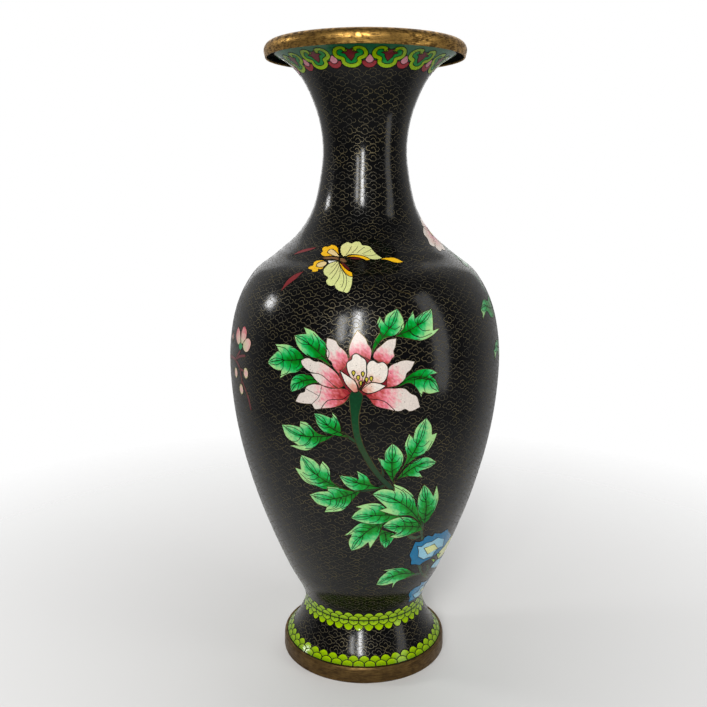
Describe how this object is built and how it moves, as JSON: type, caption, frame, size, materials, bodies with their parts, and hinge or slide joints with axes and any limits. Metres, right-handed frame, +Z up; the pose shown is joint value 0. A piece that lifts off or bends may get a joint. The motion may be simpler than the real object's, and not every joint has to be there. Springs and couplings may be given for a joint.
{
  "type": "cloisonne vase",
  "caption": "Baluster vase of enamelled copper with a flared mouth, slim neck, rounded shoulder, waisted foot, a brass lip and a brass foot ring.",
  "frame": {"origin": "centre of the foot ring's rim, on the surface that the vase stands on", "axes": "+Z up along the vase's axis; the peony faces -Y, with +X to its right"},
  "size_m": [0.168, 0.168, 0.3816],
  "materials": {
    "copper": "spun and soldered copper sheet, dull",
    "lip_brass": "rolled brass strip, worn gilding over a dark patina",
    "foot_brass": "turned brass with a dark brown patina",
    "lining": "fired turquoise counter enamel, slightly pitted",
    "ground_enamel": "black enamel between brass cloud wires, ground flat and polished",
    "border_enamel": "lime and green enamel in wire cells, polished",
    "flower_enamel": "pink enamel shading from white to red, polished",
    "leaf_enamel": "green enamel shading from dark to mint, polished",
    "stem_enamel": "brown-green enamel, polished",
    "blue_enamel": "blue enamel, light towards the petal edges, polished",
    "butterfly_enamel": "pale yellow and gold enamel, polished"
  },
  "bodies": {
    "root": {"copper_foot": "copper", "copper_belly": "copper", "copper_shoulder": "copper", "copper_neck": "copper", "copper_base_plate": "copper", "lining_foot": "lining", "lining_belly": "lining", "lining_shoulder": "lining", "lining_neck": "lining", "lining_floor": "lining", "base_counter_enamel": "lining", "brass_lip": "lip_brass", "brass_foot_ring": "foot_brass", "scale_border_base": "border_enamel", "scale_border_foot": "border_enamel", "scale_border_waist": "border_enamel", "ruyi_border": "border_enamel", "ground_foot": "ground_enamel", "ground_neck": "ground_enamel", "ground_body": "ground_enamel", "peony_heart": "flower_enamel", "peony_petals": "flower_enamel", "plum_blossom": "flower_enamel", "pink_flower": "flower_enamel", "back_peony_petals": "flower_enamel", "peony_stem": "stem_enamel", "plum_branch": "stem_enamel", "back_branch": "stem_enamel", "butterfly_body": "stem_enamel", "flower_leaves_left": "leaf_enamel", "flower_leaves_top": "leaf_enamel", "flower_leaves_right": "leaf_enamel", "stem_leaves_upper": "leaf_enamel", "stem_leaves_middle": "leaf_enamel", "stem_leaves_right": "leaf_enamel", "lower_leaves": "leaf_enamel", "blue_flower_leaf": "leaf_enamel", "mint_leaf": "leaf_enamel", "back_peony_leaves": "leaf_enamel", "blue_flower_heart": "blue_enamel", "blue_flower": "blue_enamel", "small_blue_flower": "blue_enamel", "butterfly_upper_wings": "butterfly_enamel", "butterfly_lower_wings": "butterfly_enamel"}
  },
  "joints": []
}
